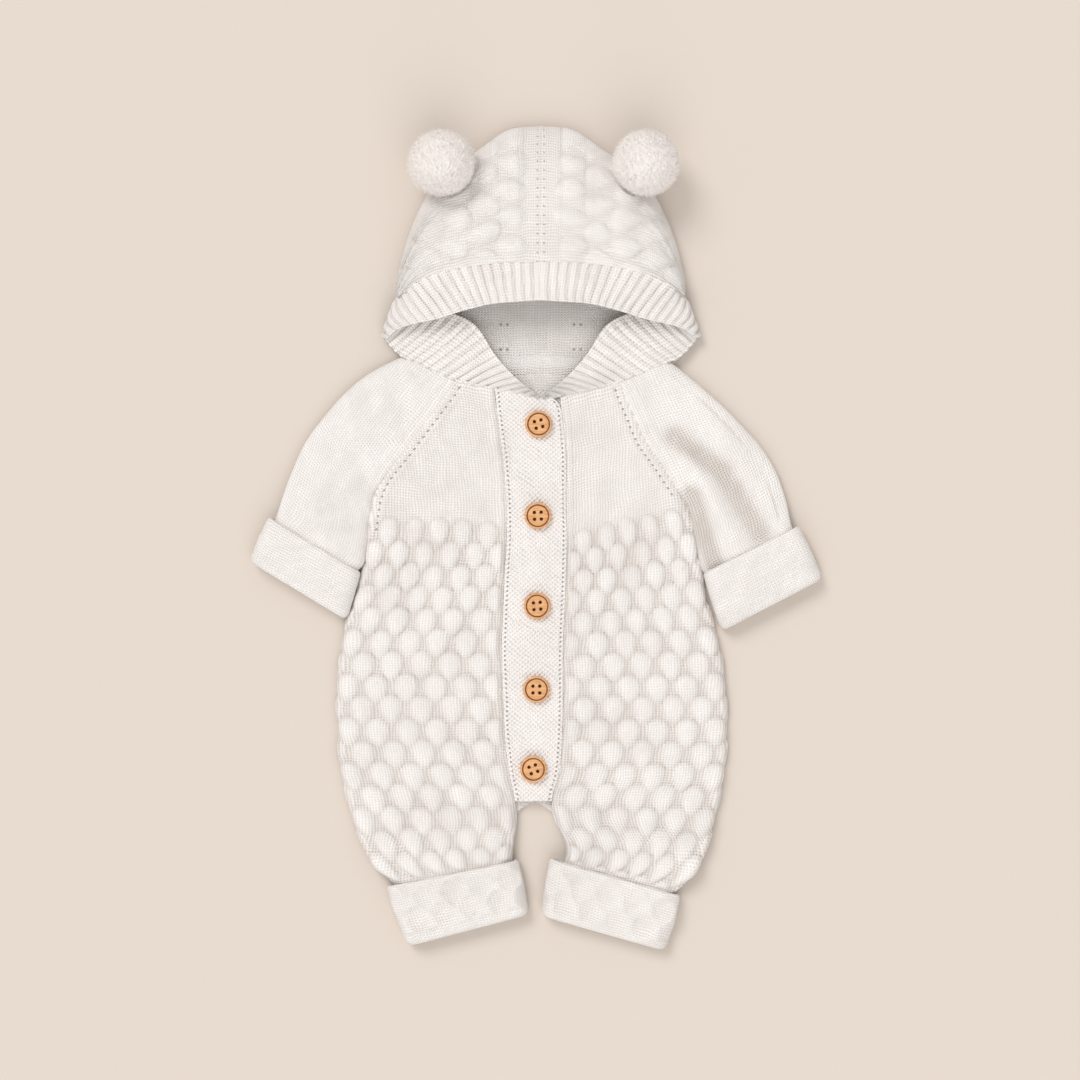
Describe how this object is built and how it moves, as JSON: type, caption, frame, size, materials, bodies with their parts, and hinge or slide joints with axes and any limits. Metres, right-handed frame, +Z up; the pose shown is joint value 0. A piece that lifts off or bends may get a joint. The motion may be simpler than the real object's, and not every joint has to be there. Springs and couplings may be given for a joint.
{
  "type": "hooded knitted baby romper",
  "caption": "Hooded knitted baby romper laid out flat, with pompom ears, bubble-stitch body, button front and turned-up cuffs.",
  "frame": {"origin": "middle of the garment's plan, on the surface that it lies on", "axes": "+Y towards the hood, +X towards the wearer's left side, +Z up, away from the surface, as the front faces"},
  "size_m": [0.383, 0.5536, 0.0537],
  "materials": {
    "wool": "off-white knitted wool blend, matt, with a fine stitch",
    "yarn": "off-white cut yarn, fluffy",
    "wood": "light tan wood, smooth, with a soft sheen"
  },
  "bodies": {
    "root": {"back": "wool", "front_left": "wool", "front_right": "wool", "placket_under": "wool", "placket_top": "wool", "sleeve_left": "wool", "sleeve_right": "wool", "sleeve_cuff_left": "wool", "sleeve_cuff_right": "wool", "leg_cuff_left": "wool", "leg_cuff_right": "wool", "hood_left": "wool", "hood_right": "wool", "hood_band_left": "wool", "hood_band_right": "wool", "pompom_left": "yarn", "pompom_right": "yarn", "button_1": "wood", "button_2": "wood", "button_3": "wood", "button_4": "wood", "button_5": "wood"}
  },
  "joints": []
}
